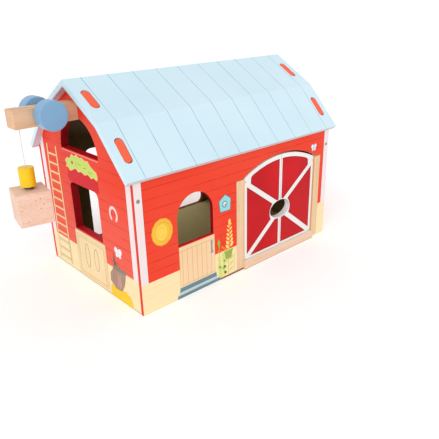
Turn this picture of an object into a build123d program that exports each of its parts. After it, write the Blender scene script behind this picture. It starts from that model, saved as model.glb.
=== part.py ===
from math import acos, atan2, cos, degrees, hypot, pi, sin, sqrt, tan
import os

from build123d import *

os.makedirs("parts", exist_ok=True)

# Toy barn with opening doors and a string hoist.
# Millimetres. X runs along the barn, Y from front to back, Z up from the ground.
# The origin is the centre of the footprint.

# Shell
barn_length = 336.0
barn_depth = 218.0
wall_thickness = 5.0  # front and back walls
gable_thickness = 10.0
floor_thickness = 9.0

# Gambrel roof, given by the corners of its upper surface
eave_height = 164.7
crease_height = 218.5
ridge_height = 256.9
eave_reach = 5.7  # out past the long walls
crease_inset = 44.0  # in from the outer faces of the long walls
roof_thickness = 6.5
roof_overhang = 9.2  # out past each gable

# Tabs on the gables, and the slots in the roof that they fill
slot_length = 31.5
slot_clearance = 0.3
tab_shy = 1.2  # tabs are this much shorter than the slots at each end
tab_depth_shy = 0.3  # tabs end just below the roof's surface

# Openings in the gables
loft_radius = 43.3
loft_over_beam = 2.3  # the arch's top is this far above the underside of the hoist beam
stable_width = 66.0
stable_sill = 67.6
stable_top = 131.0
stable_corner = 8.0

# Front window, with a round top
window_x = -86.0
window_width = 54.9
window_sill = 69.3
window_apex = 130.5

# Play opening in the back wall
back_opening_width = 214.0
back_opening_bottom = 10.0
back_opening_top = 145.0
back_opening_corner = 10.0

# Double door, set in a doorway that is open down to the ground
door_x = 66.2
door_width = 143.2  # over both leaves
door_side_top = 126.2
door_apex = 144.4
leaf_thickness = 9.0
leaf_recess = 0.5  # back from the wall's front face
leaf_seam = 1.0
leaf_corner = 5.5  # round at the top outer corner
door_clearance = 0.6  # at the sides and over the sill
arch_clearance = 2.5
hole_width = 41.2
hole_height = 25.5
hole_z = 67.4

# Sill in the foot of the doorway
sill_height = 11.3
sill_reach = 3.3  # out past the wall
sill_edge = 0.5

# Hinge pins, straight steel wire upright at the leaves' outer edges
pin_diameter = 1.8
pin_fit = 0.05
pin_room = 0.3  # past the pin's end in the leaf
pin_reach = 8.0  # into the leaf, the sill and the wall
hinge_inset = 2.2  # in from the leaf's front and outer faces

# Wall screws
screw_z = 140.0
screw_head = 5.0
screw_shank = 2.5
screw_length = 20.0
screw_fit = 0.05
screw_room = 0.5  # past a screw's point
sink_angle = 82.0

# Hoist beam
beam_size = 20.0
beam_drop = 16.35  # from the underside of the ridge to the beam's top
beam_reach = 72.5
beam_edge = 0.6
beam_screw_head = 6.4
beam_screw_shank = 3.0
beam_screw_length = 30.0
beam_screw_pitch = 8.4
beam_screw_rise = 1.0  # of the pair above the beam's middle
head_height = 2.0

# Winch
axle_reach = 35.4  # out from the gable
axle_rise = 1.4  # above the middle of the beam
axle_diameter = 8.0
axle_clearance = 0.08
drum_diameter = 32.4
drum_thickness = 15.8
drum_gap = 1.0
drum_bore = 12.0
axle_shy = 0.5  # the axle stops short of the bore's end
drum_fit = 0.05
drum_edge = 1.2

# String
string_diameter = 1.0
string_reach = 64.5  # out from the gable
string_hole = 3.0
string_lift = 0.05  # clearance of the string over the beam
string_overlap = 2.0  # the top run reaches this far down the hole
coil_width = 3.0
coil_clearance = 0.1
winding_slot_width = 4.0
winding_slot_room = 5.0  # between the coil and each end of the slot

# Weight, magnet and crate
weight_diameter = 17.0
weight_height = 21.4
string_fall = 42.9  # string in sight between the beam and the weight
weight_edge = 0.8
string_bore = 2.0
string_bore_depth = 5.0
magnet_diameter = 10.0
magnet_height = 2.4
magnet_clearance = 0.1
magnet_screw_shank = 2.0
magnet_screw_length = 11.0
crate_size = 36.6
crate_height = 37.4
crate_turn = -10.7
crate_edge = 0.6
crate_screw_head = 8.0
crate_screw_height = 1.3
crate_screw_shank = 2.5
crate_screw_length = 14.0

# Derived lines that several pieces share
half_length = barn_length / 2
half_depth = barn_depth / 2
inner_y = half_depth - wall_thickness
eave_y = half_depth + eave_reach
crease_y = half_depth - crease_inset
lower_pitch = atan2(crease_height - eave_height, eave_y - crease_y)
upper_pitch = atan2(ridge_height - crease_height, crease_y)
lower_slope = hypot(crease_height - eave_height, eave_y - crease_y)
upper_slope = hypot(ridge_height - crease_height, crease_y)

# Corners of the roof's section in front of the ridge, as (Y, Z)
mitre = roof_thickness / cos((lower_pitch - upper_pitch) / 2)
mitre_pitch = (lower_pitch + upper_pitch) / 2
eave_top = (-eave_y, eave_height)
eave_under = (
    -eave_y + roof_thickness * sin(lower_pitch),
    eave_height - roof_thickness * cos(lower_pitch),
)
crease_top = (-crease_y, crease_height)
crease_under = (-crease_y + mitre * sin(mitre_pitch), crease_height - mitre * cos(mitre_pitch))
ridge_top = (0, ridge_height)
ridge_under = (0, ridge_height - roof_thickness / cos(upper_pitch))


def under_roof(y):
    """Height of the lower slope's underside, y being negative towards the front."""
    return eave_under[1] + (y - eave_under[0]) * tan(lower_pitch)


# Roof ---------------------------------------------------------------------------------

# Planes on the upper surfaces: local x climbs the slope and local y runs towards -X
lower_plane = Plane(
    origin=(0, eave_top[0], eave_top[1]),
    x_dir=(0, cos(lower_pitch), sin(lower_pitch)),
    z_dir=(0, -sin(lower_pitch), cos(lower_pitch)),
)
upper_plane = Plane(
    origin=(0, crease_top[0], crease_top[1]),
    x_dir=(0, cos(upper_pitch), sin(upper_pitch)),
    z_dir=(0, -sin(upper_pitch), cos(upper_pitch)),
)
roof_length = barn_length + 2 * roof_overhang
gable_middle = half_length - gable_thickness / 2
slot_width = gable_thickness + 2 * slot_clearance
tab_length = slot_length - 2 * tab_shy
slots_low = [(lower_slope / 2, side * gable_middle) for side in (-1, 1)]
slots_high = [(upper_slope / 2, side * gable_middle) for side in (-1, 1)]

with BuildPart() as roof_lower_front:
    with BuildSketch(Plane.YZ):
        with BuildLine():
            Polyline(eave_top, crease_top, crease_under, eave_under, close=True)
        make_face()
    extrude(amount=roof_length / 2, both=True)
    with BuildSketch(lower_plane):
        with Locations(*slots_low):
            SlotOverall(slot_length, slot_width)
    extrude(amount=-roof_thickness, mode=Mode.SUBTRACT)

with BuildPart() as roof_upper_front:
    with BuildSketch(Plane.YZ):
        with BuildLine():
            Polyline(crease_top, ridge_top, ridge_under, crease_under, close=True)
        make_face()
    extrude(amount=roof_length / 2, both=True)
    with BuildSketch(upper_plane):
        with Locations(*slots_high):
            SlotOverall(slot_length, slot_width)
    extrude(amount=-roof_thickness, mode=Mode.SUBTRACT)

with BuildPart() as roof_lower_back:
    mirror(roof_lower_front.part, about=Plane.XZ)

with BuildPart() as roof_upper_back:
    mirror(roof_upper_front.part, about=Plane.XZ)

# Gable walls --------------------------------------------------------------------------

screw_sites = (-gable_middle, gable_middle)
beam_top = ridge_under[1] - beam_drop
beam_bottom = beam_top - beam_size
beam_z = beam_bottom + beam_size / 2
loft_sill = beam_bottom + loft_over_beam - loft_radius
beam_screw_z = [beam_z + beam_screw_rise + side * beam_screw_pitch / 2 for side in (-1, 1)]
left_face = Plane.YZ.offset(-half_length)
tab_root = gable_thickness / 2

# Blank of the left gable: outline, tabs, stable window and bores for the wall screws
with BuildPart() as gable_blank:
    with BuildSketch(left_face):
        with BuildLine():
            Polyline(
                (-inner_y, 0),
                (-inner_y, under_roof(-inner_y)),
                crease_under,
                ridge_under,
                (-crease_under[0], crease_under[1]),
                (inner_y, under_roof(-inner_y)),
                (inner_y, 0),
                close=True,
            )
        make_face()
    extrude(amount=gable_thickness)
    for slope_plane, site in ((lower_plane, slots_low[1]), (upper_plane, slots_high[1])):
        with BuildSketch(slope_plane.offset(-roof_thickness - tab_root)):
            with Locations(site):
                SlotOverall(tab_length, gable_thickness)
        extrude(amount=roof_thickness + tab_root - tab_depth_shy)
    mirror(about=Plane.XZ)
    with BuildSketch(left_face) as stable_window:
        with Locations((0, (stable_sill + stable_top) / 2)):
            Rectangle(stable_width, stable_top - stable_sill)
        fillet(stable_window.vertices().group_by(Axis.Y)[-1], stable_corner)
    extrude(amount=gable_thickness, mode=Mode.SUBTRACT)
    for side in (-1, 1):
        with Locations(Plane(origin=(-gable_middle, side * inner_y, screw_z), z_dir=(0, side, 0))):
            Hole(screw_shank / 2 + screw_fit, depth=screw_length - wall_thickness + screw_room)

with BuildPart() as gable_wall_left:
    add(gable_blank.part)
    with BuildSketch(left_face):
        with BuildLine():
            CenterArc((0, loft_sill), loft_radius, 0, 180)
            Line((-loft_radius, loft_sill), (loft_radius, loft_sill))
        make_face()
    extrude(amount=gable_thickness, mode=Mode.SUBTRACT)
    for z in beam_screw_z:
        with Locations(Plane(origin=(gable_thickness - half_length, 0, z), z_dir=(1, 0, 0))):
            Hole(beam_screw_shank / 2 + screw_fit, depth=gable_thickness)

with BuildPart() as gable_wall_right:
    mirror(gable_blank.part, about=Plane.YZ)

# Long walls ---------------------------------------------------------------------------

pin_radius = pin_diameter / 2
hinge_x = door_x - door_width / 2 + hinge_inset
hinge_y = -half_depth + leaf_recess + hinge_inset
door_bottom = sill_height + door_clearance
front_face = Plane.XZ.offset(half_depth)

# Arch over the door: one centre for the leaves and for the doorway round them
door_rise = door_apex - door_side_top
arch_radius = ((door_width / 2) ** 2 + door_rise**2) / (2 * door_rise)
arch_z = door_apex - arch_radius


def arch_height(x, radius):
    """Height of the arch at x from the middle of the door."""
    return arch_z + sqrt(radius**2 - x**2)


with BuildPart() as wall_blank:
    with BuildSketch(Plane.YZ):
        with BuildLine():
            Polyline(
                (-half_depth, 0),
                (-inner_y, 0),
                (-inner_y, under_roof(-inner_y)),
                (-half_depth, under_roof(-half_depth)),
                close=True,
            )
        make_face()
    extrude(amount=half_length, both=True)
    for x in screw_sites:
        with Locations(Plane(origin=(x, -half_depth, screw_z), z_dir=(0, -1, 0))):
            CounterSinkHole(
                screw_shank / 2 + screw_fit,
                screw_head / 2,
                depth=wall_thickness,
                counter_sink_angle=sink_angle,
            )

doorway_half = door_width / 2 + door_clearance
doorway_radius = arch_radius + arch_clearance
doorway_side = arch_height(doorway_half, doorway_radius)
pin_top = arch_height(hinge_x - door_x, doorway_radius) + pin_reach
window_spring = window_apex - window_width / 2

with BuildPart() as front_wall:
    add(wall_blank.part)
    with BuildSketch(front_face):
        with BuildLine():
            Polyline(
                (window_x - window_width / 2, window_spring),
                (window_x - window_width / 2, window_sill),
                (window_x + window_width / 2, window_sill),
                (window_x + window_width / 2, window_spring),
            )
            CenterArc((window_x, window_spring), window_width / 2, 0, 180)
        make_face()
        with BuildLine():
            Polyline(
                (door_x - doorway_half, doorway_side),
                (door_x - doorway_half, 0),
                (door_x + doorway_half, 0),
                (door_x + doorway_half, doorway_side),
            )
            ThreePointArc(
                (door_x + doorway_half, doorway_side),
                (door_x, door_apex + arch_clearance),
                (door_x - doorway_half, doorway_side),
            )
        make_face()
    extrude(amount=-wall_thickness, mode=Mode.SUBTRACT)
    for x in (hinge_x, 2 * door_x - hinge_x):
        with Locations((x, hinge_y, pin_top)):
            Hole(pin_radius + pin_fit, depth=pin_top)

with BuildPart() as back_wall:
    mirror(wall_blank.part, about=Plane.XZ)
    with BuildSketch(Plane.XZ.offset(-inner_y)) as play_opening:
        with Locations((0, (back_opening_bottom + back_opening_top) / 2)):
            Rectangle(back_opening_width, back_opening_top - back_opening_bottom)
        fillet(play_opening.vertices(), back_opening_corner)
    extrude(amount=-wall_thickness, mode=Mode.SUBTRACT)

with BuildPart() as floor_panel:
    with BuildSketch(Plane.XY):
        Rectangle(barn_length - 2 * gable_thickness, 2 * inner_y)
    extrude(amount=floor_thickness)

# Countersunk screws that hold the long walls to the gables
screw_head_radius = screw_head / 2 - 2 * screw_fit
screw_cone = (screw_head_radius - screw_shank / 2) / tan(sink_angle * pi / 360)

with BuildPart() as wall_screws:
    for x in screw_sites:
        with BuildSketch(Plane(origin=(x, -half_depth, screw_z), x_dir=(1, 0, 0), z_dir=(0, 0, 1))):
            with BuildLine():
                Polyline(
                    (0, screw_fit),
                    (screw_head_radius, screw_fit),
                    (screw_shank / 2, screw_fit + screw_cone),
                    (screw_shank / 2, screw_length),
                    (0, screw_length),
                    close=True,
                )
            make_face()
        revolve(axis=Axis((x, -half_depth, screw_z), (0, 1, 0)))
        with BuildSketch(Plane(origin=(x, -half_depth, screw_z), x_dir=(1, 0, 0), z_dir=(0, -1, 0))):
            Rectangle(screw_head * 0.6, screw_head * 0.14)
            Rectangle(screw_head * 0.14, screw_head * 0.6)
        extrude(amount=-0.6, mode=Mode.SUBTRACT)
    mirror(about=Plane.XZ)

# Door ---------------------------------------------------------------------------------

door_plane = Plane(origin=(door_x, -half_depth + leaf_recess, 0), x_dir=(1, 0, 0), z_dir=(0, -1, 0))
leaf_outer = -door_width / 2
leaf_inner = -leaf_seam / 2
leaf_middle = (leaf_outer + leaf_inner) / 2

# The outer edge is rounded about the hinge axis at the front
with BuildPart() as door_leaf_left:
    with BuildSketch(door_plane) as leaf_outline:
        with BuildLine():
            Polyline(
                (leaf_outer, door_side_top),
                (leaf_outer, door_bottom),
                (leaf_inner, door_bottom),
                (leaf_inner, arch_height(leaf_inner, arch_radius)),
            )
            ThreePointArc(
                (leaf_inner, arch_height(leaf_inner, arch_radius)),
                (leaf_middle, arch_height(leaf_middle, arch_radius)),
                (leaf_outer, door_side_top),
            )
        make_face()
        fillet(leaf_outline.vertices().group_by(Axis.X)[0].sort_by(Axis.Y)[-1], leaf_corner)
    extrude(amount=-leaf_thickness)
    with BuildSketch(Plane.XY.offset(door_bottom)) as hinge_corner:
        with Locations((hinge_x, hinge_y)):
            Rectangle(hinge_inset, hinge_inset, align=(Align.MAX, Align.MAX))
            Circle(hinge_inset, mode=Mode.SUBTRACT)
    extrude(amount=door_apex - door_bottom, mode=Mode.SUBTRACT)
    with BuildSketch(door_plane):
        with Locations((0, hole_z)):
            Ellipse(hole_width / 2, hole_height / 2)
    extrude(amount=-leaf_thickness, mode=Mode.SUBTRACT)
    with Locations((hinge_x, hinge_y, door_apex)):
        Hole(pin_radius + pin_fit, depth=door_apex - door_side_top + pin_reach + pin_room)
    with Locations(Location((hinge_x, hinge_y, door_bottom), (180, 0, 0))):
        Hole(pin_radius + pin_fit, depth=pin_reach + pin_room)

with BuildPart() as door_leaf_right:
    mirror(door_leaf_left.part, about=Plane.YZ.offset(door_x))

# Pins: from the wall down into each leaf at the top, and from the sill up into it at the bottom
with BuildPart() as hinge_pins:
    for low, high in (
        (sill_height - pin_reach, door_bottom + pin_reach),
        (door_side_top - pin_reach, pin_top),
    ):
        with BuildSketch(Plane.XY.offset(low)):
            with Locations((hinge_x, hinge_y)):
                Circle(pin_radius)
        extrude(amount=high - low)
    mirror(about=Plane.YZ.offset(door_x))

with BuildPart() as door_sill:
    with BuildSketch(Plane.XY):
        with Locations((door_x, -inner_y)):
            Rectangle(2 * doorway_half, wall_thickness + sill_reach, align=(Align.CENTER, Align.MAX))
    extrude(amount=sill_height)
    chamfer(door_sill.faces().sort_by(Axis.Y)[0].edges().sort_by(Axis.Z)[-1], sill_edge)
    for x in (hinge_x, 2 * door_x - hinge_x):
        with Locations((x, hinge_y, sill_height)):
            Hole(pin_radius + pin_fit, depth=pin_reach)

# Hoist beam and winch -----------------------------------------------------------------

axle_x = -half_length - axle_reach
axle_z = beam_z + axle_rise
string_x = -half_length - string_reach
coil_radius = axle_diameter / 2 + string_diameter
winding_slot = 2 * (coil_radius + winding_slot_room)

with BuildPart() as crane_beam:
    with BuildSketch(left_face):
        with Locations((0, beam_z)):
            Rectangle(beam_size, beam_size)
    extrude(amount=-beam_reach)
    chamfer(crane_beam.edges().filter_by(Axis.X) + crane_beam.faces().sort_by(Axis.X)[0].edges(), beam_edge)
    with Locations(Plane(origin=(axle_x, -beam_size / 2, axle_z), z_dir=(0, -1, 0))):
        Hole(axle_diameter / 2 + axle_clearance, depth=beam_size)
    with BuildSketch(Plane.XY.offset(beam_top)):
        with Locations((axle_x, 0)):
            SlotOverall(winding_slot, winding_slot_width)
    extrude(amount=-beam_size, mode=Mode.SUBTRACT)
    with Locations((string_x, 0, beam_top)):
        Hole(string_hole / 2, depth=beam_size)
    for z in beam_screw_z:
        with Locations(Plane(origin=(-half_length, 0, z), z_dir=(1, 0, 0))):
            Hole(beam_screw_shank / 2 + screw_fit, depth=beam_screw_length - gable_thickness + screw_room)

# Pan-head screws from inside the gable
with BuildPart() as beam_screws:
    for z in beam_screw_z:
        with BuildSketch(Plane.YZ.offset(gable_thickness - half_length)):
            with Locations((0, z)):
                Circle(beam_screw_head / 2)
        extrude(amount=head_height)
    fillet(beam_screws.faces().group_by(Axis.X)[-1].edges(), head_height * 0.4)
    for z in beam_screw_z:
        with BuildSketch(Plane.YZ.offset(gable_thickness - half_length)):
            with Locations((0, z)):
                Circle(beam_screw_shank / 2)
        extrude(amount=-beam_screw_length)

drum_inner = beam_size / 2 + drum_gap
axle_half = drum_inner + drum_bore - axle_shy

with BuildPart() as winch_axle:
    with BuildSketch(Plane.XZ.offset(axle_half)):
        with Locations((axle_x, axle_z)):
            Circle(axle_diameter / 2)
    extrude(amount=-2 * axle_half)

with BuildPart() as winch_drum_front:
    with BuildSketch(Plane.XZ.offset(drum_inner)):
        with Locations((axle_x, axle_z)):
            Circle(drum_diameter / 2)
    extrude(amount=drum_thickness)
    fillet(winch_drum_front.edges().filter_by(GeomType.CIRCLE), drum_edge)
    with Locations(Plane(origin=(axle_x, -drum_inner, axle_z), z_dir=(0, 1, 0))):
        Hole(axle_diameter / 2 + drum_fit, depth=drum_bore)

with BuildPart() as winch_drum_back:
    mirror(winch_drum_front.part, about=Plane.XZ)

# String -------------------------------------------------------------------------------

string_radius = string_diameter / 2
weight_top = beam_bottom - string_fall

# First turns of the string, wound on the axle inside the beam's slot
with BuildPart() as string_coil:
    with BuildSketch(Plane.XZ.offset(coil_width / 2)):
        with Locations((axle_x, axle_z)):
            Circle(coil_radius)
            Circle(axle_diameter / 2 + coil_clearance / 2, mode=Mode.SUBTRACT)
    extrude(amount=-coil_width)

# From the coil the string rises to the slot's end, lies on the beam and turns down its hole
run_z = beam_top + string_radius + string_lift
edge_x = axle_x - winding_slot / 2 + string_radius
run_radius = coil_radius + string_radius + coil_clearance
to_axle = hypot(axle_x - edge_x, run_z - axle_z)
contact_angle = atan2(run_z - axle_z, edge_x - axle_x) - acos(run_radius / to_axle)
leave = (axle_x + run_radius * cos(contact_angle), axle_z + run_radius * sin(contact_angle))
edge_radius = 3.0
drop_radius = string_hole / 2

with BuildPart() as string_run:
    with BuildLine() as run_path:
        FilletPolyline(
            (leave[0], 0, leave[1]),
            (edge_x, 0, run_z),
            (string_x, 0, run_z),
            (string_x, 0, beam_top - string_overlap),
            radius=[edge_radius, drop_radius],
        )
    with BuildSketch(Plane(origin=run_path.line @ 0, z_dir=run_path.line % 0)):
        Circle(string_radius)
    sweep(path=run_path.line)

run_length = run_path.wire().length
run_volume = pi * string_radius**2 * run_length
print("string arcs", edge_radius, drop_radius, "run length", round(run_length, 2))
print("string volume against section times length", round(string_run.part.volume / run_volume, 4))

with BuildPart() as string_drop:
    with BuildSketch(Plane.XY.offset(weight_top - string_bore_depth)):
        with Locations((string_x, 0)):
            Circle(string_radius)
    extrude(amount=beam_top - string_overlap - weight_top + string_bore_depth)

# Weight and crate ---------------------------------------------------------------------

weight_bottom = weight_top - weight_height
magnet_bottom = weight_bottom - magnet_height
crate_top = magnet_bottom - magnet_clearance - crate_screw_height

with BuildPart() as hoist_weight:
    with BuildSketch(Plane.XY.offset(weight_bottom)):
        with Locations((string_x, 0)):
            Circle(weight_diameter / 2)
    extrude(amount=weight_height)
    fillet(hoist_weight.edges().filter_by(GeomType.CIRCLE), weight_edge)
    with Locations((string_x, 0, weight_top)):
        Hole(string_bore / 2, depth=string_bore_depth)
    with Locations(Location((string_x, 0, weight_bottom), (180, 0, 0))):
        Hole(magnet_screw_shank / 2 + screw_fit, depth=magnet_screw_length)

# Ring magnet with a countersunk bore, held by its own screw
magnet_sink = magnet_screw_shank + screw_fit
with BuildPart() as weight_magnet:
    with BuildSketch(Plane.XY.offset(magnet_bottom)):
        with Locations((string_x, 0)):
            Circle(magnet_diameter / 2)
    extrude(amount=magnet_height)
    with Locations(Location((string_x, 0, magnet_bottom), (180, 0, 0))):
        CounterSinkHole(
            magnet_screw_shank / 2 + screw_fit,
            magnet_sink,
            depth=magnet_height,
            counter_sink_angle=sink_angle,
        )

magnet_head = magnet_sink - 2 * screw_fit
magnet_cone = (magnet_head - magnet_screw_shank / 2) / tan(sink_angle * pi / 360)
with BuildPart() as magnet_screw:
    with BuildSketch(Plane(origin=(string_x, 0, magnet_bottom), x_dir=(1, 0, 0), z_dir=(0, -1, 0))):
        with BuildLine():
            Polyline(
                (0, screw_fit),
                (magnet_head, screw_fit),
                (magnet_screw_shank / 2, screw_fit + magnet_cone),
                (magnet_screw_shank / 2, magnet_screw_length),
                (0, magnet_screw_length),
                close=True,
            )
        make_face()
    revolve(axis=Axis((string_x, 0, 0), (0, 0, 1)))

crate_plane = Plane(origin=(string_x, 0, crate_top - crate_height)).rotated((0, 0, crate_turn))
with BuildPart() as crate:
    with BuildSketch(crate_plane):
        Rectangle(crate_size, crate_size)
    extrude(amount=crate_height)
    chamfer(crate.edges(), crate_edge)
    with Locations((string_x, 0, crate_top)):
        Hole(crate_screw_shank / 2 + screw_fit, depth=crate_screw_length + screw_room)

with BuildPart() as crate_screw:
    with BuildSketch(Plane.XY.offset(crate_top)):
        with Locations((string_x, 0)):
            Circle(crate_screw_head / 2)
    extrude(amount=crate_screw_height)
    fillet(crate_screw.faces().sort_by(Axis.Z)[-1].edges(), crate_screw_height * 0.4)
    with BuildSketch(Plane.XY.offset(crate_top)):
        with Locations((string_x, 0)):
            Circle(crate_screw_shank / 2)
    extrude(amount=-crate_screw_length)

# Files --------------------------------------------------------------------------------

roof_lower_front.part.label = "roof_lower_front"
export_step(roof_lower_front.part, "parts/roof_lower_front.step")
roof_upper_front.part.label = "roof_upper_front"
export_step(roof_upper_front.part, "parts/roof_upper_front.step")
roof_lower_back.part.label = "roof_lower_back"
export_step(roof_lower_back.part, "parts/roof_lower_back.step")
roof_upper_back.part.label = "roof_upper_back"
export_step(roof_upper_back.part, "parts/roof_upper_back.step")
gable_wall_left.part.label = "gable_wall_left"
export_step(gable_wall_left.part, "parts/gable_wall_left.step")
gable_wall_right.part.label = "gable_wall_right"
export_step(gable_wall_right.part, "parts/gable_wall_right.step")
front_wall.part.label = "front_wall"
export_step(front_wall.part, "parts/front_wall.step")
back_wall.part.label = "back_wall"
export_step(back_wall.part, "parts/back_wall.step")
floor_panel.part.label = "floor_panel"
export_step(floor_panel.part, "parts/floor_panel.step")
wall_screws.part.label = "wall_screws"
export_step(wall_screws.part, "parts/wall_screws.step")
door_leaf_left.part.label = "door_leaf_left"
export_step(door_leaf_left.part, "parts/door_leaf_left.step")
door_leaf_right.part.label = "door_leaf_right"
export_step(door_leaf_right.part, "parts/door_leaf_right.step")
hinge_pins.part.label = "hinge_pins"
export_step(hinge_pins.part, "parts/hinge_pins.step")
door_sill.part.label = "door_sill"
export_step(door_sill.part, "parts/door_sill.step")
crane_beam.part.label = "crane_beam"
export_step(crane_beam.part, "parts/crane_beam.step")
beam_screws.part.label = "beam_screws"
export_step(beam_screws.part, "parts/beam_screws.step")
winch_axle.part.label = "winch_axle"
export_step(winch_axle.part, "parts/winch_axle.step")
winch_drum_front.part.label = "winch_drum_front"
export_step(winch_drum_front.part, "parts/winch_drum_front.step")
winch_drum_back.part.label = "winch_drum_back"
export_step(winch_drum_back.part, "parts/winch_drum_back.step")
string_coil.part.label = "string_coil"
export_step(string_coil.part, "parts/string_coil.step")
string_run.part.label = "string_run"
export_step(string_run.part, "parts/string_run.step")
string_drop.part.label = "string_drop"
export_step(string_drop.part, "parts/string_drop.step")
hoist_weight.part.label = "hoist_weight"
export_step(hoist_weight.part, "parts/hoist_weight.step")
weight_magnet.part.label = "weight_magnet"
export_step(weight_magnet.part, "parts/weight_magnet.step")
magnet_screw.part.label = "magnet_screw"
export_step(magnet_screw.part, "parts/magnet_screw.step")
crate.part.label = "crate"
export_step(crate.part, "parts/crate.step")
crate_screw.part.label = "crate_screw"
export_step(crate_screw.part, "parts/crate_screw.step")

print("barn", barn_length, "by", barn_depth, "by", ridge_height)
print("hinge axis", round(hinge_x, 3), round(2 * door_x - hinge_x, 3), round(hinge_y, 3))
print("winch axis", axle_x, axle_z, "string radius on the winch", run_radius)
print("string x", string_x, "drop from", weight_top - string_bore_depth, "to", beam_top - string_overlap)
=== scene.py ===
import bpy
import bmesh
from math import cos, sin, radians, sqrt
from mathutils import Matrix, Vector


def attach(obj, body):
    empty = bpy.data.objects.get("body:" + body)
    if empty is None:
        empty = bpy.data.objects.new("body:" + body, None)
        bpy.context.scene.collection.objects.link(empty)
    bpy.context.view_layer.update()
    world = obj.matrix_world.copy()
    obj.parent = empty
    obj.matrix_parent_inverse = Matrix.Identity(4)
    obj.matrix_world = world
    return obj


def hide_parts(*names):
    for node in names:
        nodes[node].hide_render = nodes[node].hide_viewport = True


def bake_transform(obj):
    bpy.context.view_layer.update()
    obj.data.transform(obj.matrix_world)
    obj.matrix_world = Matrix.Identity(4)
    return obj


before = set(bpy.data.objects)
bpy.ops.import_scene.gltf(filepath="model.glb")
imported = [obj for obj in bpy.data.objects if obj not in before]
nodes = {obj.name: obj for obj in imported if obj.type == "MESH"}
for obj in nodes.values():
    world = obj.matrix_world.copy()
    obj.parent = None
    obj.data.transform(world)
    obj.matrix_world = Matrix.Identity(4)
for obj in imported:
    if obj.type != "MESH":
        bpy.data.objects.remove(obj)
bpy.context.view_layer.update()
print("barn loaded:", len(nodes), "parts")

# sizes in millimetres: the walls, and where each slope of the roof starts, with its pitch in radians
barn = {"length": 336, "depth": 218, "wall": 5, "gable": 10}
slopes = {"low": {"reach": 114.7, "height": 164.7, "pitch": 0.8247},
          "high": {"reach": 65.0, "height": 218.5, "pitch": 0.5335}}
halfLength = barn["length"] / 2
halfDepth = barn["depth"] / 2


def hexColour(code):
    parts = [int(code[i:i + 2], 16) / 255 for i in (0, 2, 4)]
    return tuple(c / 12.92 if c < 0.04045 else ((c + 0.055) / 1.055) ** 2.4 for c in parts) + (1.0,)


def addObject(name, data):
    made = bpy.data.objects.new(name, data)
    bpy.context.scene.collection.objects.link(made)
    return made


class Value:
    # a shader socket that takes part in sums
    def __init__(self, finish, out):
        self.finish = finish
        self.out = out

    def sum(self, operation, first, second=0.0):
        return self.finish.node("Math", {"operation": operation}, {0: first, 1: second})

    def __add__(self, other):
        return self.sum("ADD", self, other)

    def __sub__(self, other):
        return self.sum("SUBTRACT", self, other)

    def __rsub__(self, other):
        return self.sum("SUBTRACT", other, self)

    def __mul__(self, other):
        return self.sum("MULTIPLY", self, other)

    def __gt__(self, other):
        return self.sum("GREATER_THAN", self, other)

    def __lt__(self, other):
        return self.sum("LESS_THAN", self, other)

    def __abs__(self):
        return self.sum("ABSOLUTE", self)

    def sine(self):
        return self.sum("SINE", self)

    def highest(self, other):
        return self.sum("MAXIMUM", self, other)

    def lowest(self, other):
        return self.sum("MINIMUM", self, other)

    def toNearest(self, pitch):
        # distance to the nearest whole multiple of the pitch
        return self.sum("PINGPONG", self, pitch / 2)


class Finish:
    def __init__(self, name, colour="ffffff", roughness=0.5, coat=0.0):
        self.mat = bpy.data.materials.new(name)
        self.mat.use_nodes = True
        self.tree = self.mat.node_tree
        self.shader = self.tree.nodes["Principled BSDF"]
        self.shader.inputs["Base Color"].default_value = hexColour(colour)
        self.shader.inputs["Roughness"].default_value = roughness
        self.shader.inputs["Coat Weight"].default_value = coat
        self.shader.inputs["Coat Roughness"].default_value = 0.25
        self.shader.inputs["Specular IOR Level"].default_value = 0.1

    def node(self, kind, settings=None, values=None, out=0):
        made = self.tree.nodes.new("ShaderNode" + kind)
        for key, value in (settings or {}).items():
            setattr(made, key, value)
        for key, value in (values or {}).items():
            if isinstance(value, Value):
                self.tree.links.new(value.out, made.inputs[key])
            else:
                made.inputs[key].default_value = value
        return Value(self, made.outputs[out])

    def place(self):
        return self.node("TexCoord", out="Object")

    def axes(self):
        # X, Y and Z in millimetres
        spread = self.node("VectorMath", {"operation": "SCALE"}, {0: self.place(), "Scale": 1000.0})
        return [self.node("SeparateXYZ", None, {0: spread}, out) for out in "XYZ"]

    def noise(self, stretch, detail=3.0, rough=0.55, seed=(0, 0, 0)):
        spot = self.node("Mapping", None, {"Vector": self.place(), "Scale": stretch, "Location": seed})
        return self.node("TexNoise", None,
                         {"Vector": spot, "Scale": 1.0, "Detail": detail, "Roughness": rough})

    def ramp(self, value, low, high, start=0.0, end=1.0):
        return self.node("MapRange", {"clamp": True}, {0: value, 1: low, 2: high, 3: start, 4: end})

    def patches(self, scale, low, high, detail=3.0, rough=0.55):
        # even noise, as a share from none to full
        return self.ramp(self.noise((scale, scale, scale), detail, rough), low, high)

    def mix(self, share, first, second):
        first, second = [hexColour(c) if isinstance(c, str) else c for c in (first, second)]
        return self.node("Mix", {"data_type": "RGBA"}, {0: share, 6: first, 7: second}, 2)

    def set(self, socket, value):
        self.tree.links.new(value.out, self.shader.inputs[socket])

    def grit(self):
        # the fine texture that a roller leaves
        return self.noise((900, 900, 900), 2)

    def sheen(self, grit, smooth, dull):
        return self.ramp(grit, 0.2, 0.8, smooth, dull)

    def bump(self, height, strength, distance):
        values = {"Height": height, "Strength": strength, "Distance": distance}
        self.set("Normal", self.node("Bump", None, values))


# satin paint over board: a slow shift of tone, a fine roller texture and a broken gloss
def paint(name, colour, darker, roughness=0.42, coat=0.02):
    made = Finish(name, colour, roughness, coat)
    made.set("Base Color", made.mix(made.patches(14, 0.35, 0.7, 4) * 0.6, colour, darker))
    grit = made.grit()
    made.set("Roughness", made.sheen(grit, roughness - 0.08, roughness + 0.1))
    made.bump(grit, 0.08, 0.0001)
    return made


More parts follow.
